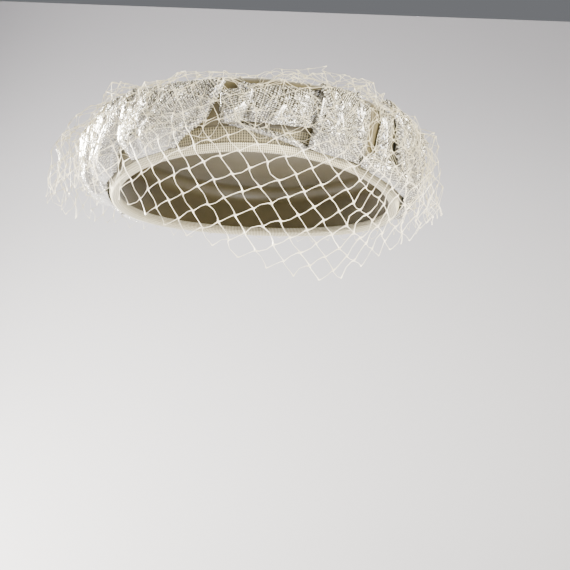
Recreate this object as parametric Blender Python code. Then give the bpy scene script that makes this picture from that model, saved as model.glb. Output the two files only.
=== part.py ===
"""A shallow pillbox hat: a flared foundation with a bound rim, covered with folded strips of straw cloth,
under one loose net that hangs over the forehead.

Metres, +Z up, front at -Y. The origin is the middle of the head opening, level with the rim.
An azimuth is measured in degrees from the front, and grows towards the wearer's left (+X).
"""

import math
from collections import namedtuple

import bmesh
import bpy
from mathutils import Vector

MM = 0.001

# Head opening and crown
HEAD_WIDTH = 160 * MM
HEAD_DEPTH = 184 * MM
RIM_ARCH = 3 * MM
CROWN_HEIGHT = 40 * MM
CROWN_FLARE = 12 * MM
SHOULDER_RADIUS = 10 * MM
TIP_DOME = 2.5 * MM
CROWN_WALL = 2 * MM

# Bound rim and the ribbed band above it
BINDING_HEIGHT = 5 * MM
BINDING_CLOTH = 1.2 * MM
BAND_HEIGHT = 8 * MM
BAND_CLOTH = 1 * MM

# Folded straw cloth
STRAW_CLOTH = 1 * MM
STRAW_PUFF = 14 * MM
PLEAT_DEPTH = 2.5 * MM

# Net veil
NET_PITCH = 26.5 * MM
NET_STRAND = 3 * MM
NET_THICKNESS = 1.2 * MM
NET_DROP = 58 * MM

# How far the net hangs clear of the fullest straw under it
NET_SIDE_SLACK = 6.5 * MM
NET_FRONT_SLACK = 1 * MM
NET_BACK_SLACK = 2 * MM
NET_TOP_SLACK = 1.2 * MM

# Clearances between touching cloths
SEAT_GAP = 0.3 * MM
CLOTH_GAP = 0.6 * MM
LAYER_GAP = 0.9 * MM

# Fineness of the facets
ROUND_STEPS = 36
SHOULDER_STEPS = 5
TIP_STEPS = 2

FOUNDATION_COLOR = (0.58, 0.53, 0.36)

# Where the flared wall leaves the rim and meets the shoulder's arc
SHOULDER_OUT = CROWN_FLARE - SHOULDER_RADIUS
SHOULDER_UP = CROWN_HEIGHT - SHOULDER_RADIUS
SHOULDER_REACH = math.hypot(SHOULDER_OUT, SHOULDER_UP)
WALL_LEAN = math.atan2(SHOULDER_OUT, SHOULDER_UP) + math.asin(SHOULDER_RADIUS / SHOULDER_REACH)
WALL_RUN = math.sqrt(SHOULDER_REACH**2 - SHOULDER_RADIUS**2)
SIDE_RUN = WALL_RUN + SHOULDER_RADIUS * (math.pi / 2 + WALL_LEAN)

# Distances up the side at which the crown and the ribbed band begin and end
CROWN_START = BINDING_CLOTH + SEAT_GAP
BAND_START = BINDING_HEIGHT + SEAT_GAP
BAND_END = BAND_START + BAND_HEIGHT
STRAW_END = 0.9 * SIDE_RUN

# One row for each strip of straw cloth, clockwise from the left of the front.
# at, wide, lean: the azimuth of its middle, its width there, and how far its head lies beyond its foot.
# foot, head: its width at the lower and upper end, as shares of wide.
# start, end: where it begins and ends between the rim and the end of the straw, as shares.
# puff, hang: how far its middle and its free lower edge stand out, as shares of STRAW_PUFF.
# crest: where its highest line runs, from -1 at its left edge to 1 at its right.
# pleats: folds gathered into its foot. layer: how many strips lie under its edges.
Strip = namedtuple("Strip", "at wide lean foot head start end puff hang crest pleats layer")
STRIPS = (
    Strip(-84, 40, 14, 0.75, 0.80, 0.10, 0.96, 0.80, 0.00, -0.10, 2, 0),
    Strip(-56, 22, 18, 0.75, 0.80, 0.12, 0.86, 0.65, 0.00, 0.20, 2, 1),
    Strip(-29, 32, 10, 0.55, 1.03, 0.13, 0.80, 0.60, 0.00, -0.60, 3, 2),
    Strip(-5, 8, 2, 0.70, 1.15, 0.36, 0.72, 0.45, 0.20, 0.00, 1, 1),
    Strip(7, 5, -24, 0.60, 0.80, 0.13, 0.34, 0.15, 0.00, 0.00, 0, 0),
    Strip(9, 25.5, 0, 0.97, 1.00, 0.37, 0.80, 0.20, 0.50, 0.00, 0, 0),
    Strip(27.5, 15, -1, 1.15, 0.85, 0.13, 0.83, 0.40, 0.00, -0.20, 0, 2),
    Strip(36.5, 6, -2, 1.10, 0.90, 0.13, 0.80, 0.20, 0.00, 0.00, 0, 1),
    Strip(49, 6, -4, 1.20, 0.90, 0.13, 0.84, 0.30, 0.00, 0.00, 0, 0),
    Strip(56, 34, 0, 0.95, 0.80, 0.10, 0.30, 0.30, 0.00, 0.20, 2, 2),
    Strip(69, 28, -16, 0.75, 0.95, 0.13, 0.95, 0.25, 0.00, -0.60, 2, 1),
    Strip(97, 34, -8, 0.75, 0.85, 0.11, 0.90, 0.30, 0.00, 0.20, 2, 0),
    Strip(126, 36, -8, 0.70, 0.90, 0.12, 0.88, 0.55, 0.00, -0.20, 2, 1),
    Strip(156, 36, 8, 0.75, 0.90, 0.11, 0.88, 0.60, 0.00, 0.20, 2, 0),
    Strip(186, 36, -8, 0.70, 0.90, 0.12, 0.88, 0.60, 0.00, -0.20, 2, 1),
    Strip(215, 36, 8, 0.75, 0.90, 0.11, 0.88, 0.55, 0.00, 0.20, 2, 0),
    Strip(244, 36, 10, 0.70, 0.85, 0.12, 0.90, 0.75, 0.00, -0.20, 2, 1),
)

# The thickness of the strips lying on each other, and the net's height over it at the shoulder
STRAW_STACK = CLOTH_GAP + max(strip.layer for strip in STRIPS) * (STRAW_CLOTH + LAYER_GAP) + STRAW_CLOTH
NET_RISE = STRAW_STACK + NET_TOP_SLACK

# How the net leaves the crown's tip and falls outside the straw, above the rim and below it.
# out is a share of the net's reach there, and rise of the crown's height or, below zero, of NET_DROP.
NetRow = namedtuple("NetRow", "out rise")
NET_FALL = (
    NetRow(0.42, 1.13),
    NetRow(0.72, 0.98),
    NetRow(0.95, 0.70),
    NetRow(1.00, 0.25),
    NetRow(0.92, -0.15),
    NetRow(0.78, -0.60),
    NetRow(0.68, -1.10),
)

# How far below the rim the net's hem hangs, as shares of NET_DROP, by azimuth
HemRow = namedtuple("HemRow", "azimuth drop")
NET_HEM = (
    HemRow(-180, 0.10),
    HemRow(-100, 0.10),
    HemRow(-60, 0.35),
    HemRow(-20, 0.90),
    HemRow(18, 1.00),
    HemRow(52, 0.85),
    HemRow(90, 0.45),
    HemRow(120, 0.12),
    HemRow(180, 0.10),
)


def blend(x, low, high):
    """0 below low, 1 above high, and a smooth step between them."""
    t = min(max((x - low) / (high - low), 0.0), 1.0)
    return t * t * (3 - 2 * t)


def interpolate(x, xs, ys):
    """The value at x on the straight runs between the points (xs, ys)."""
    for i in range(1, len(xs)):
        if x <= xs[i] or i == len(xs) - 1:
            t = (x - xs[i - 1]) / (xs[i] - xs[i - 1])
            return ys[i - 1] + t * (ys[i] - ys[i - 1])


def on_oval(azimuth, out, up):
    """The point at this azimuth on the rim's oval, grown by out, at the height up above the arched rim."""
    turn = math.radians(azimuth)
    arch = RIM_ARCH * math.cos(2 * turn) * (1 - up / CROWN_HEIGHT)
    x = (HEAD_WIDTH / 2 + out) * math.sin(turn)
    y = -(HEAD_DEPTH / 2 + out) * math.cos(turn)
    return Vector((x, y, up + arch))


def side_section(climb, lift):
    """(out, up) at the distance climb along the crown's side from the rim, and lift outside its surface."""
    if climb <= WALL_RUN:
        facing = -WALL_LEAN
        out, up = climb * math.sin(WALL_LEAN), climb * math.cos(WALL_LEAN)
    else:
        facing = (climb - WALL_RUN) / SHOULDER_RADIUS - WALL_LEAN
        out = SHOULDER_OUT + SHOULDER_RADIUS * math.cos(facing)
        up = SHOULDER_UP + SHOULDER_RADIUS * math.sin(facing)
    return out + lift * math.cos(facing), up + lift * math.sin(facing)


def on_side(azimuth, climb, lift):
    return on_oval(azimuth, *side_section(climb, lift))


def on_tip(azimuth, share, lift):
    """A point on the domed tip, at this share of the way from its centre to the shoulder."""
    edge = on_oval(azimuth, SHOULDER_OUT, CROWN_HEIGHT)
    return Vector((edge.x * share, edge.y * share, CROWN_HEIGHT + TIP_DOME * (1 - share**2) + lift))


def add_object(name, mesh, color, roughness):
    """Puts a finished bmesh in the scene as one named object with its own material."""
    data = bpy.data.meshes.new(name)
    mesh.to_mesh(data)
    mesh.free()
    material = bpy.data.materials.new(name)
    material.use_nodes = True
    shader = material.node_tree.nodes["Principled BSDF"]
    shader.inputs["Base Color"].default_value = (*color, 1.0)
    shader.inputs["Roughness"].default_value = roughness
    shader.inputs["Metallic"].default_value = 0.0
    data.materials.append(material)
    data.shade_smooth()
    data.set_sharp_from_angle(angle=math.radians(40))
    obj = bpy.data.objects.new(name, data)
    bpy.context.scene.collection.objects.link(obj)
    return obj


def thicken(obj, thickness, outward):
    """Gives an open surface its cloth's thickness, to the side that its faces point to or away from it."""
    wall = obj.modifiers.new("Cloth", "SOLIDIFY")
    wall.thickness = thickness
    wall.offset = 1 if outward else -1
    wall.use_even_offset = True


def skin(mesh, rows, closed):
    """Quads between neighbouring rows of vertices, each row running towards a larger azimuth."""
    for low, high in zip(rows, rows[1:]):
        count = len(low) if closed else len(low) - 1
        for i in range(count):
            j = (i + 1) % len(low)
            mesh.faces.new((low[i], low[j], high[j], high[i]))


def round_azimuths():
    return [360 * i / ROUND_STEPS for i in range(ROUND_STEPS)]


def ring_from_section(name, section, color, roughness):
    """A closed ring round the hat from a closed section of (climb, lift) points."""
    mesh = bmesh.new()
    rows = [[mesh.verts.new(on_side(a, climb, lift)) for a in round_azimuths()] for climb, lift in section]
    skin(mesh, rows + rows[:1], closed=True)
    return add_object(name, mesh, color, roughness)


def make_crown():
    """The foundation's side: a flared wall and its rounded shoulder, open below and above."""
    climbs = [CROWN_START]
    climbs += [WALL_RUN + (SIDE_RUN - WALL_RUN) * i / SHOULDER_STEPS for i in range(SHOULDER_STEPS + 1)]
    mesh = bmesh.new()
    skin(mesh, [[mesh.verts.new(on_side(a, climb, 0)) for a in round_azimuths()] for climb in climbs], closed=True)
    crown = add_object("crown", mesh, FOUNDATION_COLOR, 0.5)
    thicken(crown, CROWN_WALL, outward=False)


def make_crown_tip():
    """The foundation's domed top, which meets the shoulder edge to edge."""
    edge = 1 - CLOTH_GAP / (HEAD_WIDTH / 2 + SHOULDER_OUT)
    mesh = bmesh.new()
    rows = [[mesh.verts.new(on_tip(a, edge * step / TIP_STEPS, 0)) for a in round_azimuths()]
            for step in range(TIP_STEPS, 0, -1)]
    skin(mesh, rows, closed=True)
    centre = mesh.verts.new(on_tip(0, 0, 0))
    last = rows[-1]
    for i in range(ROUND_STEPS):
        mesh.faces.new((last[i], last[(i + 1) % ROUND_STEPS], centre))
    tip = add_object("crown_tip", mesh, FOUNDATION_COLOR, 0.5)
    thicken(tip, CROWN_WALL, outward=False)


def make_rim_binding():
    """A ribbon folded round the crown's lower edge, with a rounded fold underneath."""
    inside = -CROWN_WALL - SEAT_GAP
    middle = (SEAT_GAP + inside) / 2
    half = SEAT_GAP + BINDING_CLOTH - middle
    roll = [(BINDING_CLOTH * (1 - math.sin(turn)), middle + half * math.cos(turn))
            for turn in (0, math.pi / 4, math.pi / 2, 3 * math.pi / 4, math.pi)]
    section = [(BINDING_HEIGHT, middle + half)] + roll + [(BINDING_HEIGHT, middle - half)]
    section += [(BINDING_HEIGHT, inside), (BINDING_CLOTH, inside)]
    section += [(BINDING_CLOTH, SEAT_GAP), (BINDING_HEIGHT, SEAT_GAP)]
    ring_from_section("rim_binding", section[::-1], (0.80, 0.77, 0.64), 0.6)


def make_side_band():
    """The ribbed band round the lower wall, with a free upper edge."""
    inner, outer = SEAT_GAP, SEAT_GAP + BAND_CLOTH
    section = [(BAND_START, outer), (BAND_END, outer), (BAND_END, inner), (BAND_START, inner)]
    ring_from_section("side_band", section, (0.72, 0.69, 0.52), 0.6)


def underlay(climb):
    """How far what already lies on the crown stands out at this distance up its side."""
    over_band = (SEAT_GAP + BAND_CLOTH) * (1 - blend(climb, BAND_END + 2 * BAND_CLOTH, BAND_END + 6 * BAND_CLOTH))
    over_binding = (SEAT_GAP + BINDING_CLOTH) * (1 - blend(climb, BAND_START, BAND_START + 3 * BINDING_CLOTH))
    return max(over_band, over_binding)


def strip_width(strip, v):
    """Half the strip's width, in degrees, at the share v of its way up."""
    lower = strip.foot + (1 - strip.foot) * blend(v, 0, 0.5)
    return strip.wide / 2 * (lower + (strip.head - 1) * blend(v, 0.5, 1))


def strip_middle(strip, v):
    return strip.at + strip.lean * (v - 0.5)


def strip_swell(strip, u, v):
    """How far the strip stands out from what lies under it: 0 at its long edges, and outside them."""
    if abs(u) >= 1 or not 0 <= v <= 1:
        return 0.0
    side = (u - strip.crest) / (1 - strip.crest if u > strip.crest else 1 + strip.crest)
    across = 1 - side**2
    puff = STRAW_PUFF * (strip.puff * math.sin(math.pi * v**0.75) + strip.hang * (1 - v))
    gathers = PLEAT_DEPTH * (1 - v) ** 2 * blend(v, 0, 0.15) * math.sin(strip.pleats * math.pi * (u + 1) / 2) ** 2
    return across * (puff + gathers)


def swell_beneath(strip, azimuth, climb_share):
    """The swelling of every strip that lies lower than this one at a place on the hat."""
    total = 0.0
    for other in STRIPS:
        if other.layer >= strip.layer:
            continue
        v = (climb_share - other.start) / (other.end - other.start)
        clamped = min(max(v, 0.0), 1.0)
        away = (azimuth - strip_middle(other, clamped) + 180) % 360 - 180
        total += strip_swell(other, away / strip_width(other, clamped), v)
    return total


def make_straw_fold(name, strip):
    """One strip of straw cloth, from the binding up over the side, lying on what is under it."""
    columns = 8 if strip.wide > 20 else 4
    rows_up = 7 if strip.end - strip.start > 0.5 else 4
    mesh = bmesh.new()
    rows = []
    for j in range(rows_up + 1):
        v = j / rows_up
        share = strip.start + (strip.end - strip.start) * v
        climb = share * STRAW_END
        row = []
        for i in range(columns + 1):
            u = 2 * i / columns - 1
            azimuth = strip_middle(strip, v) + u * strip_width(strip, v)
            lift = underlay(climb) + CLOTH_GAP + strip.layer * (STRAW_CLOTH + LAYER_GAP)
            lift += strip_swell(strip, u, v) + swell_beneath(strip, azimuth, share)
            row.append(mesh.verts.new(on_side(azimuth, climb, lift)))
        rows.append(row)
    skin(mesh, rows, closed=False)
    fold = add_object(name, mesh, (0.86, 0.85, 0.78), 0.3)
    thicken(fold, STRAW_CLOTH, outward=True)


def net_reach_past(slack, facing):
    """How far from the rim's oval the net hangs, outside the fullest strip whose middle faces this way."""
    fullest = max(strip.puff + strip.hang for strip in STRIPS if facing(math.radians(strip.at)))
    return CROWN_FLARE + STRAW_STACK + STRAW_PUFF * fullest * math.cos(WALL_LEAN) + slack


def net_reach(azimuth):
    """How far the net stands out from the rim: widest at the sides."""
    ahead = math.cos(math.radians(azimuth))
    sides = net_reach_past(NET_SIDE_SLACK, lambda turn: abs(math.sin(turn)) > 0.7)
    if ahead > 0:
        end = net_reach_past(NET_FRONT_SLACK, lambda turn: math.cos(turn) > 0.7)
    else:
        end = net_reach_past(NET_BACK_SLACK, lambda turn: math.cos(turn) < -0.7)
    return sides + (end - sides) * ahead**2


def net_fall(azimuth):
    """The net's path outside the shoulder as (distance along it, out, up) points."""
    reach = net_reach(azimuth)
    points = [(0.0, SHOULDER_OUT, CROWN_HEIGHT + NET_RISE)]
    for row in NET_FALL:
        out = row.out * reach
        up = row.rise * (CROWN_HEIGHT if row.rise > 0 else NET_DROP)
        run = math.hypot(out - points[-1][1], up - points[-1][2])
        points.append((points[-1][0] + run, out, up))
    return points


def net_point(x, y):
    """Where a point of the flat net comes to lie once it is laid over the tip and falls round the sides."""
    edge_x, edge_y = HEAD_WIDTH / 2 + SHOULDER_OUT, HEAD_DEPTH / 2 + SHOULDER_OUT
    azimuth = math.degrees(math.atan2(x / edge_x, -y / edge_y))
    share = math.hypot(x / edge_x, y / edge_y)
    if share <= 1:
        return on_tip(azimuth, share, SEAT_GAP + (NET_RISE - SEAT_GAP) * blend(share, 0.55, 1))
    beyond = math.hypot(x, y) * (1 - 1 / share)
    distances, outs, ups = zip(*net_fall(azimuth))
    return on_oval(azimuth, interpolate(beyond, distances, outs), interpolate(beyond, distances, ups))


def above_hem(point):
    azimuth = math.degrees(math.atan2(point.x / HEAD_WIDTH, -point.y / HEAD_DEPTH))
    drop = interpolate(azimuth, [row.azimuth for row in NET_HEM], [row.drop for row in NET_HEM])
    return point.z > -drop * NET_DROP


def net_cells():
    """The meshes of the net that hang clear of its hem, as (column, row) of a square lattice on its corner."""
    half = int(1.6 * (HEAD_DEPTH + NET_DROP) / NET_PITCH)
    cells = set()
    for i in range(-half, half):
        for j in range(-half, half):
            corners = [net_point(*lattice(i + di, j + dj)) for di, dj in ((0, 0), (1, 0), (1, 1), (0, 1))]
            if all(above_hem(corner) for corner in corners):
                cells.add((i, j))
    return without_pinches(cells)


def without_pinches(cells):
    """Adds a mesh wherever two others would meet at a single knot."""
    found = True
    while found:
        found = False
        for i, j in sorted(cells):
            for di, dj in ((1, 1), (1, -1)):
                if (i + di, j + dj) in cells and not {(i + di, j), (i, j + dj)} & cells:
                    cells.add((i + di, j))
                    found = True
    return cells


def lattice(i, j):
    """A knot of the flat net, whose strands run at 45 degrees to the front."""
    return (i - j) * NET_PITCH * math.sqrt(0.5), (i + j) * NET_PITCH * math.sqrt(0.5)


def make_veil():
    """One net with open meshes, each a square frame of flat strands."""
    mesh = bmesh.new()
    knots = {}

    def knot(i, j):
        if (i, j) not in knots:
            knots[i, j] = mesh.verts.new(net_point(*lattice(i / 2, j / 2)))
        return knots[i, j]

    for i, j in sorted(net_cells()):
        a, b = 2 * i, 2 * j
        around = ((a, b), (a + 1, b), (a + 2, b), (a + 2, b + 1), (a + 2, b + 2), (a + 1, b + 2), (a, b + 2), (a, b + 1))
        mesh.faces.new([knot(*place) for place in around])
    mesh.normal_update()
    centres = list(mesh.faces)
    bmesh.ops.inset_individual(mesh, faces=centres, thickness=NET_STRAND / 2, use_even_offset=True)
    bmesh.ops.delete(mesh, geom=centres, context="FACES_ONLY")
    veil = add_object("veil", mesh, (0.85, 0.82, 0.72), 0.5)
    thicken(veil, NET_THICKNESS, outward=True)


def main():
    for obj in list(bpy.data.objects):
        bpy.data.objects.remove(obj)
    make_crown()
    make_crown_tip()
    make_rim_binding()
    make_side_band()
    for number, strip in enumerate(STRIPS, start=1):
        make_straw_fold(f"straw_fold_{number:02d}", strip)
    make_veil()


main()
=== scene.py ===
"""The looks of a shallow pillbox hat: folded straw cloth over a flared foundation, under one loose net.

Metres, +Z up, front at -Y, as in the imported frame. Azimuths are degrees from the front, growing towards +X.
"""

from __future__ import annotations

import logging
import math
from collections.abc import Callable, Sequence
from dataclasses import dataclass, field
from enum import Enum
from typing import Any, NamedTuple

import bpy
import numpy as np
from mathutils import Matrix, Vector, noise
from mathutils.bvhtree import BVHTree

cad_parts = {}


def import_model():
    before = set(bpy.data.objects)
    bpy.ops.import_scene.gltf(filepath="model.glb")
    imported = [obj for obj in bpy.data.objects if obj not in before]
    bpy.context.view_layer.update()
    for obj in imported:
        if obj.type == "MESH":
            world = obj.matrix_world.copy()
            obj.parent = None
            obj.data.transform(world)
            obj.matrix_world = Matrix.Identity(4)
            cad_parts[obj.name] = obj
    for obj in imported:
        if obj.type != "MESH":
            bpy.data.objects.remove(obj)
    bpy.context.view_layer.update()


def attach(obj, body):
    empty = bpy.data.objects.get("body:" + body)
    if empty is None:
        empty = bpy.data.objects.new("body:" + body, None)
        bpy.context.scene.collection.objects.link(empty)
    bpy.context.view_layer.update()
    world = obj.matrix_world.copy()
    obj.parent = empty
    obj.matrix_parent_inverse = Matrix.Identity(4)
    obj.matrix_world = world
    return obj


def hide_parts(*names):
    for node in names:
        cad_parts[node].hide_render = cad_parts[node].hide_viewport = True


MM = 0.001
LOG = logging.getLogger("hat")

# The hat's sizes, the same as the CAD part's
HEAD_WIDTH = 160 * MM
HEAD_DEPTH = 184 * MM
RIM_ARCH = 3 * MM
CROWN_HEIGHT = 40 * MM
CROWN_FLARE = 12 * MM
SHOULDER_RADIUS = 10 * MM
TIP_DOME = 2.5 * MM
CROWN_WALL = 2 * MM
BINDING_HEIGHT = 5 * MM
BINDING_CLOTH = 1.2 * MM
BAND_HEIGHT = 8 * MM
BAND_CLOTH = 1 * MM
STRAW_CLOTH = 1 * MM
STRAW_PUFF = 14 * MM
PLEAT_DEPTH = 2.5 * MM
SEAT_GAP = 0.3 * MM
CLOTH_GAP = 0.6 * MM
LAYER_GAP = 0.9 * MM

# Where the flared wall leaves the rim and meets the shoulder's arc
SHOULDER_OUT = CROWN_FLARE - SHOULDER_RADIUS
SHOULDER_UP = CROWN_HEIGHT - SHOULDER_RADIUS
SHOULDER_REACH = math.hypot(SHOULDER_OUT, SHOULDER_UP)
WALL_LEAN = math.atan2(SHOULDER_OUT, SHOULDER_UP) + math.asin(SHOULDER_RADIUS / SHOULDER_REACH)
WALL_RUN = math.sqrt(SHOULDER_REACH**2 - SHOULDER_RADIUS**2)
SIDE_RUN = WALL_RUN + SHOULDER_RADIUS * (math.pi / 2 + WALL_LEAN)
CROWN_START = BINDING_CLOTH + SEAT_GAP
BAND_START = BINDING_HEIGHT + SEAT_GAP
BAND_END = BAND_START + BAND_HEIGHT
STRAW_END = 0.9 * SIDE_RUN

NARROWEST_CUT = 10 * MM

# Unseeded, Blender's noise follows the clock and every run crumples the cloth anew
FIELD_SEED = 5

# How far apart the random fields lie, and which of them each use reads
FIELD_STEP = (17.3, 5.1, 9.7)
DENT_FIELD = 3.0
SOFT_FIELD = 7.0
FINE_FIELD = 8.0
CRUMPLE_FIELD = 20.0

# The seeds of the strips' creases and of the threads' bows
CREASE_DRAW = 400
BOW_DRAW = 77

# More columns than an open lattice of the net has, so that its sides never meet
OPEN_LATTICE = 1000


class Strip(NamedTuple):
    """One strip of straw cloth.

    All fields but the last are the CAD part's. at, wide and lean are degrees round the hat, pleats and layer
    are numbers, and the rest are shares. turn is how far the weave is turned against the strip, in degrees.
    """

    at: float
    wide: float
    lean: float
    foot: float
    head: float
    start: float
    end: float
    puff: float
    hang: float
    crest: float
    pleats: int
    layer: int
    turn: float


STRIPS = (
    Strip(-84, 40, 14, 0.75, 0.80, 0.10, 0.96, 0.80, 0.00, -0.10, 2, 0, 12),
    Strip(-56, 22, 18, 0.75, 0.80, 0.12, 0.86, 0.65, 0.00, 0.20, 2, 1, 42),
    Strip(-29, 32, 10, 0.55, 1.03, 0.13, 0.80, 0.60, 0.00, -0.60, 3, 2, 45),
    Strip(-5, 8, 2, 0.70, 1.15, 0.36, 0.72, 0.45, 0.20, 0.00, 1, 1, 70),
    Strip(7, 5, -24, 0.60, 0.80, 0.13, 0.34, 0.15, 0.00, 0.00, 0, 0, 45),
    Strip(9, 25.5, 0, 0.97, 1.00, 0.37, 0.80, 0.20, 0.50, 0.00, 0, 0, 20),
    Strip(27.5, 15, -1, 1.15, 0.85, 0.13, 0.83, 0.40, 0.00, -0.20, 0, 2, -38),
    Strip(36.5, 6, -2, 1.10, 0.90, 0.13, 0.80, 0.20, 0.00, 0.00, 0, 1, -30),
    Strip(49, 6, -4, 1.20, 0.90, 0.13, 0.84, 0.30, 0.00, 0.00, 0, 0, 40),
    Strip(56, 34, 0, 0.95, 0.80, 0.10, 0.30, 0.30, 0.00, 0.20, 2, 2, 75),
    Strip(69, 28, -16, 0.75, 0.95, 0.13, 0.95, 0.25, 0.00, -0.60, 2, 1, 30),
    Strip(97, 34, -8, 0.75, 0.85, 0.11, 0.90, 0.30, 0.00, 0.20, 2, 0, -20),
    Strip(126, 36, -8, 0.70, 0.90, 0.12, 0.88, 0.55, 0.00, -0.20, 2, 1, 35),
    Strip(156, 36, 8, 0.75, 0.90, 0.11, 0.88, 0.60, 0.00, 0.20, 2, 0, -35),
    Strip(186, 36, -8, 0.70, 0.90, 0.12, 0.88, 0.60, 0.00, -0.20, 2, 1, 25),
    Strip(215, 36, 8, 0.75, 0.90, 0.11, 0.88, 0.55, 0.00, 0.20, 2, 0, -30),
    Strip(244, 36, 10, 0.70, 0.85, 0.12, 0.90, 0.75, 0.00, -0.20, 2, 1, 20),
)

Array = np.ndarray


class Slot(Enum):
    """The record's material slots."""

    FOUNDATION = "foundation_cloth"
    RIBBON = "ribbed_ribbon"
    STRAW = "straw_cloth"
    NET = "veil_net"


class Held(Enum):
    STRETCHED = "stretched"
    FOLDED = "folded"
    DRAPED = "draped"


# Shapes shared by all pieces


def blend(x: Any, low: Any, high: Any) -> Any:
    """A smooth step: 0 below low and 1 above high."""
    t = np.clip((x - low) / (high - low), 0.0, 1.0)
    return t * t * (3 - 2 * t)


def on_oval(azimuth: Any, out: Any, up: Any) -> Array:
    """Points on the rim's oval grown outwards.

    Args:
        azimuth: degrees from the front.
        out: distance outside the rim.
        up: height above the arched rim.

    Returns:
        One row of x, y and z for each azimuth.
    """
    azimuth, out, up = np.broadcast_arrays(azimuth, out, up)
    turn = np.radians(azimuth)
    arch = RIM_ARCH * np.cos(2 * turn) * (1 - up / CROWN_HEIGHT)
    x = (HEAD_WIDTH / 2 + out) * np.sin(turn)
    y = -(HEAD_DEPTH / 2 + out) * np.cos(turn)
    return np.stack([x, y, up + arch], axis=-1)


def on_side(azimuth: Any, climb: Any, lift: Any) -> Array:
    """Points beside the crown's wall, at a distance climb up it from the rim and lift outside it."""
    climb = np.asarray(climb, float)
    past = climb > WALL_RUN
    facing = np.where(past, (climb - WALL_RUN) / SHOULDER_RADIUS - WALL_LEAN, -WALL_LEAN)
    out = np.where(past, SHOULDER_OUT + SHOULDER_RADIUS * np.cos(facing), climb * math.sin(WALL_LEAN))
    up = np.where(past, SHOULDER_UP + SHOULDER_RADIUS * np.sin(facing), climb * math.cos(WALL_LEAN))
    return on_oval(azimuth, out + lift * np.cos(facing), up + lift * np.sin(facing))


def on_tip(azimuth: Any, share: Any, lift: Any) -> Array:
    """Points over the domed tip, at a share of the way from its centre to the shoulder."""
    edge = on_oval(azimuth, SHOULDER_OUT, CROWN_HEIGHT)
    edge[..., :2] *= np.asarray(share)[..., None]
    edge[..., 2] = CROWN_HEIGHT + TIP_DOME * (1 - np.asarray(share) ** 2) + lift
    return edge


def rumple(points: Array, size: float, seed: float) -> Array:
    """Smooth random offsets.

    Args:
        points: where they are read.
        size: about how far apart two bumps lie.
        seed: which of many random fields is read.

    Returns:
        One vector for each point, of length up to about 1.
    """
    noise.seed_set(FIELD_SEED)
    shift = Vector([seed * step for step in FIELD_STEP])
    offsets = [noise.noise_vector(Vector(p) / size + shift) for p in points.reshape(-1, 3)]
    return np.array(offsets).reshape(points.shape)


# Finishes


def linear(code: str) -> tuple[float, float, float, float]:
    """An sRGB hex colour as the linear colour that a shader takes."""
    shares = [int(code[i : i + 2], 16) / 255 for i in (1, 3, 5)]
    return (*(c / 12.92 if c <= 0.04045 else ((c + 0.055) / 1.055) ** 2.4 for c in shares), 1.0)


def add_node(tree: bpy.types.NodeTree, kind: str, settings: dict[str, Any], inputs: dict[Any, Any]) -> Any:
    """Adds a shader node.

    Args:
        tree: the material's nodes.
        kind: the node's type.
        settings: its own properties.
        inputs: a value or another node's output for each input, by name or number.

    Returns:
        The new node.
    """
    made = tree.nodes.new(kind)
    for name, value in settings.items():
        setattr(made, name, value)
    for name, value in inputs.items():
        if isinstance(value, bpy.types.NodeSocket):
            tree.links.new(value, made.inputs[name])
        else:
            made.inputs[name].default_value = value
    return made


def two_tones(tree: bpy.types.NodeTree, share: Any, dark: str, light: str) -> Any:
    """Adds a node that mixes two hex colours by another node's output."""
    return add_node(tree, "ShaderNodeMix", {"data_type": "RGBA"}, {
        "Factor": share, 6: linear(dark), 7: linear(light)})


def new_material(name: str, sockets: dict[str, Any]) -> tuple[bpy.types.Material, bpy.types.NodeTree, Any]:
    """A material with a Principled shader whose plain sockets are set.

    Args:
        name: the material's name.
        sockets: values for the shader's own inputs.

    Returns:
        The material, its nodes and the shader.
    """
    material = bpy.data.materials.new(name)
    material.use_nodes = True
    tree = material.node_tree
    shader = tree.nodes["Principled BSDF"]
    for socket, value in sockets.items():
        shader.inputs[socket].default_value = value
    return material, tree, shader


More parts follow.
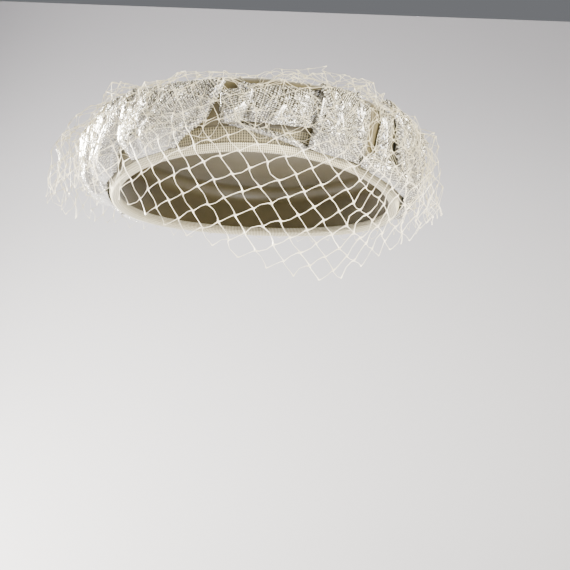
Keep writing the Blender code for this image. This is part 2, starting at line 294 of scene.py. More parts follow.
@dataclass(frozen=True)
class StrawFinish:
    """Woven cellophane straw: flat glossy dashes, each at its own tilt, so that the cloth sparkles."""

    light: str = "#E9E3CE"
    # The dark tone is painted shade in the gaps between the dashes.
    dark: str = "#241E0C"
    dash_long: float = 1.5 * MM
    dash_wide: float = 1.0 * MM
    dash_edge: float = 0.48
    dash_top: float = 0.2
    unevenness: float = 0.32
    # Each dash is brightened at random, a painted glint; this is the dimmest share of it.
    dimmest_painted_glint: float = 0.25
    smoothest: float = 0.12
    roughest: float = 0.34
    tilt: tuple[float, float, float] = (0.5, 0.5, 0.9)
    relief: float = 0.55 * MM

    def material(self) -> bpy.types.Material:
        """Builds the shader; the weave follows the UV map, which is in metres along the cloth."""
        material, tree, shader = new_material("woven_straw", {
            "IOR": 1.75, "Specular IOR Level": 1.0, "Coat Weight": 1.0, "Coat Roughness": 0.12})
        cloth = add_node(tree, "ShaderNodeUVMap", {"uv_map": "UVMap"}, {})
        scaled = add_node(tree, "ShaderNodeMapping", {}, {
            "Vector": cloth.outputs["UV"], "Scale": (1 / self.dash_long, 1 / self.dash_wide, 1)})
        dashes = add_node(tree, "ShaderNodeTexVoronoi", {"voronoi_dimensions": "2D"}, {
            "Vector": scaled.outputs[0], "Scale": 1.0, "Randomness": self.unevenness})
        # Painted shade: a dash darkens towards its edge, so the gaps between dashes are dark; the same mask
        # gives the bump.
        crown = add_node(tree, "ShaderNodeMapRange", {"interpolation_type": "SMOOTHSTEP"}, {
            "Value": dashes.outputs["Distance"], "From Min": self.dash_edge, "From Max": self.dash_top})
        one_dash = add_node(tree, "ShaderNodeSeparateColor", {}, {"Color": dashes.outputs["Color"]})
        # Painted glint: each dash's colour is brightened by its own random share.
        painted_glint = add_node(tree, "ShaderNodeMapRange", {}, {
            "Value": one_dash.outputs[0], "To Min": self.dimmest_painted_glint, "To Max": 1.0})
        tone = add_node(tree, "ShaderNodeMath", {"operation": "MULTIPLY"}, {
            0: crown.outputs[0], 1: painted_glint.outputs[0]})
        color = two_tones(tree, tone.outputs[0], self.dark, self.light)
        rough = add_node(tree, "ShaderNodeMapRange", {}, {
            "Value": one_dash.outputs[1], "To Min": self.smoothest, "To Max": self.roughest})
        tilt = add_node(tree, "ShaderNodeVectorMath", {"operation": "MULTIPLY_ADD"}, {
            0: dashes.outputs["Color"], 1: self.tilt, 2: tuple(-part / 2 for part in self.tilt)})
        facing = add_node(tree, "ShaderNodeNewGeometry", {}, {})
        tilted = add_node(tree, "ShaderNodeVectorMath", {"operation": "ADD"}, {
            0: facing.outputs["Normal"], 1: tilt.outputs[0]})
        unit = add_node(tree, "ShaderNodeVectorMath", {"operation": "NORMALIZE"}, {0: tilted.outputs[0]})
        relief = add_node(tree, "ShaderNodeBump", {}, {
            "Strength": 0.8, "Distance": self.relief, "Height": crown.outputs[0], "Normal": unit.outputs[0]})
        tree.links.new(color.outputs[2], shader.inputs["Base Color"])
        tree.links.new(rough.outputs[0], shader.inputs["Roughness"])
        tree.links.new(relief.outputs[0], shader.inputs["Normal"])
        return material


@dataclass(frozen=True)
class RibFinish:
    """Corded grosgrain ribbon: upright cords wrapped by fine threads, half matt, with painted shade darkening
    the valleys between them.
    """

    name: str
    light: str
    dark: str
    pitch: float
    thread: float = 1.2 * MM
    thread_share: float = 0.6
    valley: float = -1.2
    ridge: float = 0.6
    relief: float = 0.15 * MM

    def material(self) -> bpy.types.Material:
        """Builds the shader; u runs round the hat in ribs, and v up the ribbon in metres."""
        material, tree, shader = new_material(self.name, {
            "Roughness": 0.55, "IOR": 1.48, "Sheen Weight": 0.2})
        cloth = add_node(tree, "ShaderNodeUVMap", {"uv_map": "UVMap"}, {})
        split = add_node(tree, "ShaderNodeSeparateXYZ", {}, {"Vector": cloth.outputs["UV"]})
        around = add_node(tree, "ShaderNodeMath", {"operation": "MULTIPLY"}, {
            0: split.outputs[0], 1: 2 * math.pi / self.pitch})
        cords = add_node(tree, "ShaderNodeMath", {"operation": "COSINE"}, {0: around.outputs[0]})
        up = add_node(tree, "ShaderNodeMath", {"operation": "MULTIPLY"}, {
            0: split.outputs[1], 1: 2 * math.pi / self.thread})
        threads = add_node(tree, "ShaderNodeMath", {"operation": "SINE"}, {0: up.outputs[0]})
        weave = add_node(tree, "ShaderNodeMath", {"operation": "MULTIPLY_ADD"}, {
            0: threads.outputs[0], 1: self.thread_share, 2: cords.outputs[0]})
        # Painted shade: the colour darkens from the ridges of the cords and threads into the valleys between
        # them.
        height = add_node(tree, "ShaderNodeMapRange", {"interpolation_type": "SMOOTHSTEP"}, {
            "Value": weave.outputs[0], "From Min": self.valley, "From Max": self.ridge})
        color = two_tones(tree, height.outputs[0], self.dark, self.light)
        relief = add_node(tree, "ShaderNodeBump", {}, {
            "Strength": 0.6, "Distance": self.relief, "Height": weave.outputs[0]})
        tree.links.new(color.outputs[2], shader.inputs["Base Color"])
        tree.links.new(relief.outputs[0], shader.inputs["Normal"])
        return material


@dataclass(frozen=True)
class SatinFinish:
    """Satin-faced cotton over the foundation: beige with a soft sheen and a fine diagonal weave, its colour
    painted dark and greenish as painted shade.
    """

    # Both tones are painted shade, much darker than the cloth's own beige; the noise mixes them at random.
    light: str = "#544B30"
    dark: str = "#3D361E"
    thread: float = 0.55 * MM
    patch: float = 14 * MM
    relief: float = 0.08 * MM

    def material(self) -> bpy.types.Material:
        """Builds the shader, whose weave is drawn twice as coarse as real thread so that it shows."""
        material, tree, shader = new_material("foundation_satin", {
            "Roughness": 0.42, "IOR": 1.48, "Sheen Weight": 0.35, "Sheen Roughness": 0.4})
        place = add_node(tree, "ShaderNodeTexCoord", {}, {})
        waves = [
            add_node(tree, "ShaderNodeTexWave", {"bands_direction": axis}, {
                "Vector": place.outputs["Object"], "Scale": math.pi / (10 * self.thread),
                "Distortion": 0.6, "Detail": 1.0})
            for axis in ("DIAGONAL", "Z")
        ]
        weave = add_node(tree, "ShaderNodeMath", {"operation": "MULTIPLY"}, {
            0: waves[0].outputs["Fac"], 1: waves[1].outputs["Fac"]})
        tone = add_node(tree, "ShaderNodeTexNoise", {}, {
            "Vector": place.outputs["Object"], "Scale": 1 / self.patch, "Detail": 4.0})
        color = two_tones(tree, tone.outputs["Fac"], self.dark, self.light)
        relief = add_node(tree, "ShaderNodeBump", {}, {
            "Strength": 0.35, "Distance": self.relief, "Height": weave.outputs[0]})
        tree.links.new(color.outputs[2], shader.inputs["Base Color"])
        tree.links.new(relief.outputs[0], shader.inputs["Normal"])
        return material


@dataclass(frozen=True)
class ThreadFinish:
    """Stiffened rayon net thread: ivory, half glossy, a little uneven in tone, and painted darker and
    yellower above the rim, over the crown, as painted shade.
    """

    light: str = "#F3ECDB"
    dark: str = "#D3C8A8"
    # The thread is painted darker and yellower above the rim, as painted shade.
    shaded_thread: str = "#B4AB8C"
    thread_shade_from: float = -4 * MM
    thread_shade_full: float = 8 * MM
    thread_shade_share: float = 0.85
    patch: float = 9 * MM

    def material(self) -> bpy.types.Material:
        """Builds the shader."""
        material, tree, shader = new_material("net_thread", {
            "Roughness": 0.4, "IOR": 1.5, "Sheen Weight": 0.3, "Sheen Roughness": 0.4})
        place = add_node(tree, "ShaderNodeTexCoord", {}, {})
        tone = add_node(tree, "ShaderNodeTexNoise", {}, {
            "Vector": place.outputs["Object"], "Scale": 1 / self.patch, "Detail": 3.0})
        color = two_tones(tree, tone.outputs["Fac"], self.dark, self.light)
        split = add_node(tree, "ShaderNodeSeparateXYZ", {}, {"Vector": place.outputs["Object"]})
        # Painted shade: above the rim the thread's colour is mixed towards the darker, yellower tone.
        above = add_node(tree, "ShaderNodeMapRange", {"interpolation_type": "SMOOTHSTEP"}, {
            "Value": split.outputs[2], "From Min": self.thread_shade_from, "From Max": self.thread_shade_full,
            "To Max": self.thread_shade_share})
        shaded_above_rim = add_node(tree, "ShaderNodeMix", {"data_type": "RGBA"}, {
            "Factor": above.outputs[0], 6: color.outputs[2], 7: linear(self.shaded_thread)})
        tree.links.new(shaded_above_rim.outputs[2], shader.inputs["Base Color"])
        return material


# Ways to make a piece


def deselect_all() -> None:
    """Leaves nothing selected, so that an operator acts only on what comes next."""
    for obj in bpy.context.selected_objects:
        obj.select_set(False)
    bpy.context.view_layer.objects.active = None


def lay_cloth(name: str, columns: int, rows: int, place: Callable[[Array, Array], Array],
              size: tuple[float, float], turn: float = 0.0) -> bpy.types.Object:
    """Lays a flat grid of cloth where a function says.

    Args:
        name: the new object's name.
        columns: its faces across.
        rows: its faces along.
        place: gives the points for u from -1 to 1 across and v from 0 to 1 along.
        size: the flat cloth's width and length, which scale its UV map.
        turn: degrees that the weave is turned in the cloth.

    Returns:
        The open sheet, with its seams and poles merged.
    """
    deselect_all()
    bpy.ops.mesh.primitive_grid_add(x_subdivisions=columns, y_subdivisions=rows, size=2, calc_uvs=True)
    obj = bpy.context.object
    obj.name = obj.data.name = name
    mesh = obj.data
    flat = np.empty(len(mesh.vertices) * 3)
    mesh.vertices.foreach_get("co", flat)
    flat = flat.reshape(-1, 3)
    points = place(flat[:, 0], (flat[:, 1] + 1) / 2)
    mesh.vertices.foreach_set("co", points.astype(np.float32).ravel())
    layer = mesh.uv_layers[0]
    layer.name = "UVMap"
    uv = np.empty(len(layer.uv) * 2, np.float32)
    layer.uv.foreach_get("vector", uv)
    uv = (uv.reshape(-1, 2) - 0.5) * size
    c, s = math.cos(math.radians(turn)), math.sin(math.radians(turn))
    layer.uv.foreach_set("vector", (uv @ np.array([[c, s], [-s, c]])).astype(np.float32).ravel())
    bpy.ops.object.mode_set(mode="EDIT")
    bpy.ops.mesh.select_all(action="SELECT")
    bpy.ops.mesh.remove_doubles(threshold=0.002 * MM)
    bpy.ops.object.mode_set(mode="OBJECT")
    return obj


def thicken(obj: bpy.types.Object, thickness: float, outward: bool, rounding: float) -> None:
    """Gives an open sheet its cloth's thickness and rounds its cut or turned edges.

    Args:
        obj: the sheet, which is the active object.
        thickness: of the cloth.
        outward: whether the wall grows to the side that the faces point to.
        rounding: the radius of the edges, or 0 to leave them square.
    """
    wall = obj.modifiers.new("Cloth", "SOLIDIFY")
    wall.thickness = thickness
    wall.offset = 1 if outward else -1
    bpy.ops.object.modifier_apply(modifier=wall.name)
    if rounding:
        edge = obj.modifiers.new("Edge", "BEVEL")
        edge.width = rounding
        edge.segments = 2
        edge.limit_method = "ANGLE"
        edge.angle_limit = math.radians(60)
        bpy.ops.object.modifier_apply(modifier=edge.name)


def finish_piece(obj: bpy.types.Object, material: bpy.types.Material,
                 nodes: Sequence[str]) -> None:
    """Dresses a piece and gives it its place in the frame.

    Args:
        obj: the finished mesh.
        material: its finish.
        nodes: the CAD nodes that it stands for.
    """
    obj.data.materials.clear()
    obj.data.materials.append(material)
    deselect_all()
    obj.select_set(True)
    bpy.context.view_layer.objects.active = obj
    bpy.ops.object.shade_smooth_by_angle(angle=math.radians(50))
    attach(obj, "root")
    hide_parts(*nodes)
    LOG.info("%s: %d faces", obj.name, len(obj.data.polygons))


# The hat's sub-assemblies


@dataclass
class Foundation:
    """The stiff crown and its tip, covered in one plain cloth, with an open hollow below."""

    around: int = 200
    side_rows: int = 26
    tip_rows: int = 16
    dents: float = 0.25 * MM
    dents_apart: float = 22 * MM
    smooth_until: float = 0.3
    dented_from: float = 0.6

    def outside(self, u: Array, v: Array) -> Array:
        """The covered surface, from the rim at v 0 over the shoulder to the middle of the tip at v 1."""
        azimuth = 180 * u
        split = self.side_rows / (self.side_rows + self.tip_rows)
        climb = CROWN_START + (SIDE_RUN - CROWN_START) * np.clip(v / split, 0, 1)
        side = on_side(azimuth, climb, 0.0)
        tip = on_tip(azimuth, np.clip((1 - v) / (1 - split), 0, 1), 0.0)
        points = np.where((v < split)[:, None], side, tip)
        dented = blend(v, self.smooth_until, self.dented_from)
        hollows = rumple(points, self.dents_apart, DENT_FIELD)[:, 2] * dented
        points[:, 2] -= self.dents * (1 + hollows)
        return points

    def build(self, finish: SatinFinish) -> bpy.types.Object:
        """Makes the crown's wall and dresses it."""
        rows = self.side_rows + self.tip_rows
        crown = lay_cloth("crown_cover", self.around, rows, self.outside, (HEAD_WIDTH * math.pi, SIDE_RUN))
        thicken(crown, CROWN_WALL - self.dents, outward=False, rounding=0)
        finish_piece(crown, finish.material(), ["crown", "crown_tip"])
        return crown


@dataclass
class Ribbon:
    """A corded ribbon round the hat, whose section is a closed loop of (climb, lift) points."""

    name: str
    node: str
    section: Sequence[tuple[float, float]]
    finish: RibFinish
    held: Held
    cut_width: float
    cord_height: float = 0.3 * MM
    steps_per_cord: int = 3
    section_rows: int = 26

    def rim_length(self) -> float:
        """The oval's length at the rim, by Ramanujan's rule."""
        a, b = HEAD_WIDTH / 2, HEAD_DEPTH / 2
        return math.pi * (3 * (a + b) - math.sqrt((3 * a + b) * (a + 3 * b)))

    def surface(self, u: Array, v: Array) -> Array:
        """The ribbon's skin, round the hat along u and round its section along v."""
        loop = np.array([*self.section, self.section[0]])
        runs = np.concatenate([[0], np.cumsum(np.hypot(*np.diff(loop, axis=0).T))])
        at = v * runs[-1]
        climb, lift = (np.interp(at, runs, loop[:, i]) for i in (0, 1))
        cords = round(self.rim_length() / self.finish.pitch)
        swell = 0.5 + 0.5 * np.cos(math.pi * cords * (u + 1))
        outer = blend(lift, SEAT_GAP, SEAT_GAP + 0.4 * BAND_CLOTH)
        return on_side(180 * u, climb, lift - self.cord_height * (1 - swell) * outer)

    def build(self) -> bpy.types.Object:
        """Makes the ribbon and dresses it."""
        cords = round(self.rim_length() / self.finish.pitch)
        rows = self.section_rows
        length = cords * self.finish.pitch
        ribbon = lay_cloth(self.name, cords * self.steps_per_cord, rows, self.surface,
                           (length, 2 * self.cut_width))
        finish_piece(ribbon, self.finish.material(), [self.node])
        return ribbon


def binding_section() -> list[tuple[float, float]]:
    """A ribbon folded round the crown's lower edge, with a rounded fold underneath."""
    inside = -CROWN_WALL - SEAT_GAP
    middle = (SEAT_GAP + inside) / 2
    half = SEAT_GAP + BINDING_CLOTH - middle
    steps = 8
    turns = [math.pi * i / steps for i in range(steps + 1)]
    roll = [(BINDING_CLOTH * (1 - math.sin(t)), middle + half * math.cos(t)) for t in turns]
    soft = BINDING_CLOTH / 4
    top = BINDING_HEIGHT
    section = [(top, middle + half - soft), (top - soft, middle + half), *roll, (top - soft, middle - half)]
    section += [(top, middle - half + soft), (top, inside), (BINDING_CLOTH, inside)]
    return [*section, (BINDING_CLOTH, SEAT_GAP), (top, SEAT_GAP)]


def band_section() -> list[tuple[float, float]]:
    """A flat band with softened edges."""
    inner, outer, soft = SEAT_GAP, SEAT_GAP + BAND_CLOTH, BAND_CLOTH / 4
    return [(BAND_START, inner), (BAND_END, inner), (BAND_END, outer - soft), (BAND_END - soft, outer),
            (BAND_START + soft, outer), (BAND_START, outer - soft)]


@dataclass
class StrawFolds:
    """The strips of straw cloth, folded up over the side in overlapping layers.

    What is wide or flat is a share of the strip's half width, and flat_end one of its length. Strips narrower
    than full_width degrees have smaller creases, and narrow ones fewer.
    """

    finish: StrawFinish
    cell: float = 0.95 * MM
    crinkle: float = 0.6 * MM
    crinkles_apart: tuple[float, float] = (5.5 * MM, 2.4 * MM)
    crease: float = 2.5 * MM
    crease_wide: float = 0.13
    creases_per_strip: int = 6
    creases_when_narrow: int = 2
    narrow: float = 20
    full_width: float = 24
    turned_edge: float = 1.8 * MM
    edge_wide: float = 0.09
    groove_wide: float = 0.12
    flat_side: float = 0.25
    flat_end: float = 0.12
    pressed: float = 0.3 * MM
    rounding: float = 0.4 * MM

    @staticmethod
    def underlay(climb: Array) -> Array:
        """How far the ribbons under the straw stand out at this distance up the side."""
        past_band = blend(climb, BAND_END + 2 * BAND_CLOTH, BAND_END + 6 * BAND_CLOTH)
        over_band = (SEAT_GAP + BAND_CLOTH) * (1 - past_band)
        fade = blend(climb, BAND_START, BAND_START + 3 * BINDING_CLOTH)
        return np.maximum(over_band, (SEAT_GAP + BINDING_CLOTH) * (1 - fade))

    @staticmethod
    def half_width(strip: Strip, v: Array) -> Array:
        """Half the strip's width in degrees, at the share v of its way up."""
        lower = strip.foot + (1 - strip.foot) * blend(v, 0, 0.5)
        return strip.wide / 2 * (lower + (strip.head - 1) * blend(v, 0.5, 1))

    @staticmethod
    def middle(strip: Strip, v: Array) -> Array:
        """The azimuth of the strip's middle."""
        return strip.at + strip.lean * (v - 0.5)

    @staticmethod
    def swell(strip: Strip, u: Array, v: Array) -> Array:
        """How far a strip stands out from what lies under it: 0 at its long edges and outside them."""
        ends = np.where(u > strip.crest, 1 - strip.crest, 1 + strip.crest)
        across = 1 - ((u - strip.crest) / ends) ** 2
        inside = (np.abs(u) < 1) & (v >= 0) & (v <= 1)
        v = np.clip(v, 0, 1)
        puff = STRAW_PUFF * (strip.puff * np.sin(math.pi * v**0.75) + strip.hang * (1 - v))
        fold = np.sin(strip.pleats * math.pi * (u + 1) / 2) ** 2
        gathers = PLEAT_DEPTH * (1 - v) ** 2 * blend(v, 0, 0.15) * fold
        return np.where(inside, across * (puff + gathers), 0.0)

    def beneath(self, strip: Strip, azimuth: Array, share: Array) -> Array:
        """The swelling of every strip that lies lower than this one, at places on the hat."""
        total = np.zeros_like(azimuth)
        for other in STRIPS:
            if other.layer < strip.layer:
                v = (share - other.start) / (other.end - other.start)
                held = np.clip(v, 0, 1)
                away = (azimuth - self.middle(other, held) + 180) % 360 - 180
                total += self.swell(other, away / self.half_width(other, held), v)
        return total

    def lies(self, strip: Strip, number: int) -> Callable[[Array, Array], Array]:
        """The function that lays one strip on the hat, with its own creases and crinkles."""
        draw = np.random.default_rng(CREASE_DRAW + number)
        count = self.creases_per_strip if strip.wide > self.narrow else self.creases_when_narrow
        lines = [(draw.uniform(-0.85, 0.85), draw.uniform(-0.35, 0.35), draw.uniform(0.4, 1.0))
                 for _ in range(count)]
        coarse, small = self.crinkles_apart

        def place(u: Array, v: Array) -> Array:
            share = strip.start + (strip.end - strip.start) * v
            climb = share * STRAW_END
            azimuth = self.middle(strip, v) + u * self.half_width(strip, v)
            lift = self.underlay(climb) + CLOTH_GAP + strip.layer * (STRAW_CLOTH + LAYER_GAP)
            lift = lift + self.swell(strip, u, v) + self.beneath(strip, azimuth, share)
            points = on_side(azimuth, climb, lift)
            edge = 1 - np.abs(u)
            inner = blend(edge, 0, self.flat_side)
            inner = inner * blend(v, 0, self.flat_end) * blend(1 - v, 0, self.flat_end)
            sharp = np.zeros_like(u)
            for at, drift, deep in lines:
                sharp += deep * np.clip(1 - np.abs(u - at - drift * (v - 0.5)) / self.crease_wide, 0, 1)
            fine = rumple(points, coarse, number)[:, 0] + 0.5 * rumple(points, small, number + 0.5)[:, 0]
            size = min(1.0, strip.wide / self.full_width)
            extra = inner * (size * self.crease * (sharp - 0.3) * 0.8 + self.crinkle * fine)
            ridge = np.exp(-((edge / self.edge_wide - 1) ** 2))
            groove = np.exp(-((edge / self.groove_wide - 2.8) ** 2))
            extra += size * self.turned_edge * (ridge - 0.6 * groove) * (edge > 0)
            return on_side(azimuth, climb, lift + np.maximum(extra, -self.pressed * inner))

        return place

    def flat_size(self, strip: Strip) -> tuple[float, float, float]:
        """The strip's width, length and area before it was folded up, measured over its swelling."""
        steps = np.linspace(0, 1, 41)
        place = self.lies(strip, 0)

        def run(u: Array, v: Array) -> float:
            return float(np.linalg.norm(np.diff(place(u, v), axis=0), axis=1).sum())

        widths = [run(2 * steps - 1, np.full_like(steps, v)) for v in (0.05, 0.25, 0.5, 0.75, 0.95)]
        length = run(np.full_like(steps, strip.crest), steps)
        return max(*widths, NARROWEST_CUT), length, length * sum(widths) / len(widths)

    def build(self) -> list[bpy.types.Object]:
        """Makes every strip and dresses it."""
        material = self.finish.material()
        folds = []
        for number, strip in enumerate(STRIPS, start=1):
            name = f"straw_fold_{number:02d}"
            wide, long, area = self.flat_size(strip)
            fold = lay_cloth(f"{name}_cloth", round(wide / self.cell), round(long / self.cell),
                             self.lies(strip, number), (wide, long), strip.turn)
            thicken(fold, STRAW_CLOTH, outward=True, rounding=self.rounding)
            finish_piece(fold, material, [name])
            folds.append(fold)
        return folds


class FallRow(NamedTuple):
    """The net's path outside the shoulder: out as a share of its reach, and a height."""

    out: float
    up: float


class HemRow(NamedTuple):
    """By azimuth: how far the hem hangs below the rim, the net's reach outside it, and how gathered it is."""

    azimuth: float
    drop: float
    reach: float
    gather: float


class Crumple(NamedTuple):
    """A loose layer of the net over the straw.

    first and last are azimuths, low and high distances up the side. pitch is half a mesh, turn the lattice's
    own angle, height how far it crumples and peak how far its middle stands up.
    """

    first: float
    last: float
    low: float
    high: float
    pitch: float
    turn: float
    height: float
    peak: float


class Stop(NamedTuple):
    """A place along a thread between two knots, as a share, and its thickness there in threads."""

    at: float
    thick: float


def lay_under(pieces: Sequence[bpy.types.Object]) -> BVHTree:
    """All the faces that the net may lie on, to be asked where they are."""
    corners: list[Vector] = []
    faces: list[list[int]] = []
    for piece in pieces:
        first = len(corners)
        corners += [vertex.co.copy() for vertex in piece.data.vertices]
        faces += [[first + i for i in face.vertices] for face in piece.data.polygons]
    return BVHTree.FromPolygons(corners, faces)


@dataclass
class Veil:
    """One net of knotted diamonds: over the tip, out past the straw, and down in front.

    Each pair is where a smooth change starts and ends: in gather, in distance down the net, in height or, for
    beside, in distance from the middle. A slack is how far a knot may be shifted.
    """

    finish: ThreadFinish
    cover: BVHTree
    half_wide: float = 6.9 * MM
    half_tall: float = 6.2 * MM
    lean: float = 14.0
    thread: float = 0.395 * MM
    rise: float = 3.4 * MM
    rises_from: float = 0.55
    overlap: float = 8 * MM
    fold_deep: float = 4.0 * MM
    folds_apart: float = 9.0
    folds_with_gather: tuple[float, float] = (1.2, 1.7)
    folds_with_distance: tuple[float, float] = (8 * MM, 45 * MM)
    looseness: float = 6.0 * MM
    loose_from: tuple[float, float] = (-4 * MM, 12 * MM)
    loose_until: tuple[float, float] = (38 * MM, 44 * MM)
    soft_size: float = 16 * MM
    fine_size: float = 5 * MM
    fine_share: float = 0.35
    slack_with_gather: tuple[float, float] = (1.1, 2.0)
    tip_slack: float = 0.4 * MM
    tip_share: float = 0.88
    tip_cells: int = 20
    crumple_slack: float = 1.5 * MM
    crumple_size: float = 13 * MM
    hem_weight: float = 0.72
    tie_weight: float = 0.9
    crumple_weight: float = 0.85
    bow: float = 0.07
    twist: float = 0.03
    finer_above: float = 0.34
    above: tuple[float, float] = (-2 * MM, 9 * MM)
    finer_beside: float = 0.12
    beside: tuple[float, float] = (62 * MM, 84 * MM)
    beside_below: float = 5 * MM
    longest_at: float = 12.0
    stops: tuple[Stop, ...] = (
        Stop(0, 2.6), Stop(0.14, 1.15), Stop(0.5, 0.68), Stop(0.86, 1.15), Stop(1, 2.6))
    fall: tuple[FallRow, ...] = (
        FallRow(0.36, 41 * MM), FallRow(0.60, 35 * MM), FallRow(0.80, 26 * MM), FallRow(0.97, 10 * MM),
        FallRow(0.95, -9 * MM), FallRow(0.82, -35 * MM), FallRow(0.70, -70 * MM),
    )
    hem: tuple[HemRow, ...] = (
        HemRow(-180, -6 * MM, 28 * MM, 1.1), HemRow(-125, -3 * MM, 33 * MM, 1.2),
        HemRow(-100, 5 * MM, 36 * MM, 1.6), HemRow(-75, 6 * MM, 36 * MM, 1.7),
        HemRow(-52, 13 * MM, 30 * MM, 1.75), HemRow(-34, 26 * MM, 29 * MM, 1.5),
        HemRow(-19, 41 * MM, 28 * MM, 1.12), HemRow(-3, 53 * MM, 28 * MM, 1.0),
        HemRow(12, 61 * MM, 28 * MM, 1.0), HemRow(25, 62 * MM, 28 * MM, 1.05),
        HemRow(39, 46 * MM, 27 * MM, 1.3), HemRow(55, 31 * MM, 25 * MM, 1.6),
        HemRow(80, 5 * MM, 23.5 * MM, 1.75), HemRow(105, 1 * MM, 25 * MM, 1.45),
        HemRow(130, -3 * MM, 27 * MM, 1.2), HemRow(180, -6 * MM, 28 * MM, 1.1),
    )
    crumples: tuple[Crumple, ...] = (
        Crumple(-104, 112, 5 * MM, 47 * MM, 6.4 * MM, 24, 5.0 * MM, 0.0),
        Crumple(-104, 4, 12 * MM, 47.5 * MM, 6.8 * MM, -35, 5.5 * MM, 0.0),
        Crumple(34, 112, 6 * MM, 47.5 * MM, 6.0 * MM, -20, 5.5 * MM, 0.0),
        Crumple(0, 54, 33 * MM, 47.8 * MM, 4.4 * MM, 14, 6.0 * MM, 8 * MM),
        Crumple(12, 52, 37 * MM, 47.8 * MM, 3.6 * MM, -28, 5.0 * MM, 7 * MM),
    )
    points: list[Array] = field(default_factory=list)
    strands: list[tuple[int, int, float]] = field(default_factory=list)

    def by_azimuth(self, azimuth: float, column: int) -> float:
        """A value of the hem's table at this azimuth."""
        at = (azimuth + 180) % 360 - 180
        return float(np.interp(at, [row.azimuth for row in self.hem], [row[column] for row in self.hem]))

    def path(self, azimuth: float) -> Array:
        """The net's fall at this azimuth, as rows of (distance, out, up) from the tip's edge down."""
        reach = self.by_azimuth(azimuth, 2)
        start = (SHOULDER_OUT, CROWN_HEIGHT + self.rise)
        line = np.array([start, *((row.out * reach, row.up) for row in self.fall)])
        for _ in range(3):
            cut = np.empty((2 * len(line) - 2, 2))
            cut[0::2] = 0.75 * line[:-1] + 0.25 * line[1:]
            cut[1::2] = 0.25 * line[:-1] + 0.75 * line[1:]
            line = np.vstack([line[:1], cut, line[-1:]])
        run = np.concatenate([[0], np.cumsum(np.hypot(*np.diff(line, axis=0).T))])
        return np.column_stack([run, line])

    def hang(self, azimuth: float, distance: float) -> Array:
        """The net's point at this azimuth and distance from the tip's edge, which is negative on the tip."""
        if distance < 0:
            share = 1 + distance / (HEAD_WIDTH / 2 + SHOULDER_OUT)
            return on_tip(azimuth, share, self.over_tip(share))
        run, out, up = self.path(azimuth).T
        gather = self.by_azimuth(azimuth, 3)
        gathered = blend(gather, *self.folds_with_gather) * blend(distance, *self.folds_with_distance)
        fold = self.fold_deep * gathered * math.sin(2 * math.pi * azimuth / self.folds_apart)
        return on_oval(azimuth, np.interp(distance, run, out) + fold, np.interp(distance, run, up))

    def over_tip(self, share: Any) -> Any:
        """How high the net lies over the tip: on it in the middle, and over the straw's ends at its edge."""
        lifted = blend(share, self.rises_from, 1)
        return SEAT_GAP + self.thread + (self.rise - SEAT_GAP - self.thread) * lifted

    def spread(self) -> tuple[Array, Array]:
        """The net's own width round the hat: azimuths, and the flat distance reached at each."""
        step = 0.5
        azimuths = np.arange(-180.0, 180.0 + step, step)
        turn = np.radians(azimuths)
        out = np.array([self.by_azimuth(a, 2) for a in azimuths])
        arc = np.hypot((HEAD_WIDTH / 2 + out) * np.cos(turn), (HEAD_DEPTH / 2 + out) * np.sin(turn))
        gather = np.array([self.by_azimuth(a, 3) for a in azimuths])
        width = math.radians(step) * arc * gather
        return azimuths, np.concatenate([[0], np.cumsum((width[1:] + width[:-1]) / 2)])

    def settle(self, point: Array) -> Array:
        """Moves a point away from the hat's heart until it lies clear of the cloth under it."""
        heart = Vector((0, 0, CROWN_HEIGHT / 2))
        away = Vector(point) - heart
        ray = away.normalized()
        hit = self.cover.ray_cast(heart + ray * HEAD_DEPTH, -ray, HEAD_DEPTH)[0]
        if hit is None or (hit - heart).length + self.thread < away.length:
            return point
        return np.array(heart + ray * ((hit - heart).length + self.thread))

    def knot(self, point: Array, slack: float) -> int:
        """Adds a knot, shifted by soft crumples and a little chance, and gives its number."""
        slack += self.looseness * blend(point[2], *self.loose_from) * (1 - blend(point[2], *self.loose_until))
        soft = slack * rumple(point, self.soft_size, SOFT_FIELD)
        shift = soft + self.fine_share * slack * rumple(point, self.fine_size, FINE_FIELD)
        self.points.append(self.settle(point + shift))
        return len(self.points) - 1

    def tie(self, made: dict[tuple[int, int], int], columns: int, weight: float) -> None:
        """Adds the threads between the knots of one lattice, thinner along its lowest row."""
        for (column, row), number in made.items():
            for side in (-1, 1):
                above = ((column + side) % columns, row + 1)
                if above in made:
                    self.strands.append((number, made[above], self.hem_weight if row == 0 else weight))

    def add_skirt(self) -> tuple[list[int], float]:
        """Knots the net from its hem up to the tip's edge.

        Returns:
            The topmost knots, to be tied to the net on the tip, and the net's flat width.
        """
        azimuths, flat = self.spread()
        columns = 2 * round(flat[-1] / (2 * self.half_wide))
        pitch = flat[-1] / columns
        made: dict[tuple[int, int], int] = {}
        tops: list[int] = []
        for column in range(columns):
            at = float(np.interp(column * pitch, flat, azimuths))
            run, _, up = self.path(at).T
            level = up + RIM_ARCH * math.cos(2 * math.radians(at)) * (1 - up / CROWN_HEIGHT)
            hem = float(np.interp(self.by_azimuth(at, 1), -level, run))
            row = column % 2
            distance = hem
            while distance > -self.overlap:
                height = row * self.half_tall
                turned = (column * pitch + math.sin(math.radians(self.lean)) * height) % flat[-1]
                azimuth = float(np.interp(turned, flat, azimuths))
                distance = hem - math.cos(math.radians(self.lean)) * height
                slack = (0.7 + 1.6 * blend(self.by_azimuth(azimuth, 3), *self.slack_with_gather)) * MM
                made[column, row] = self.knot(self.hang(azimuth, distance), slack)
                row += 2
            tops.append(made[column, row - 2])
        self.tie(made, columns, 1.0)
        return tops, float(flat[-1])

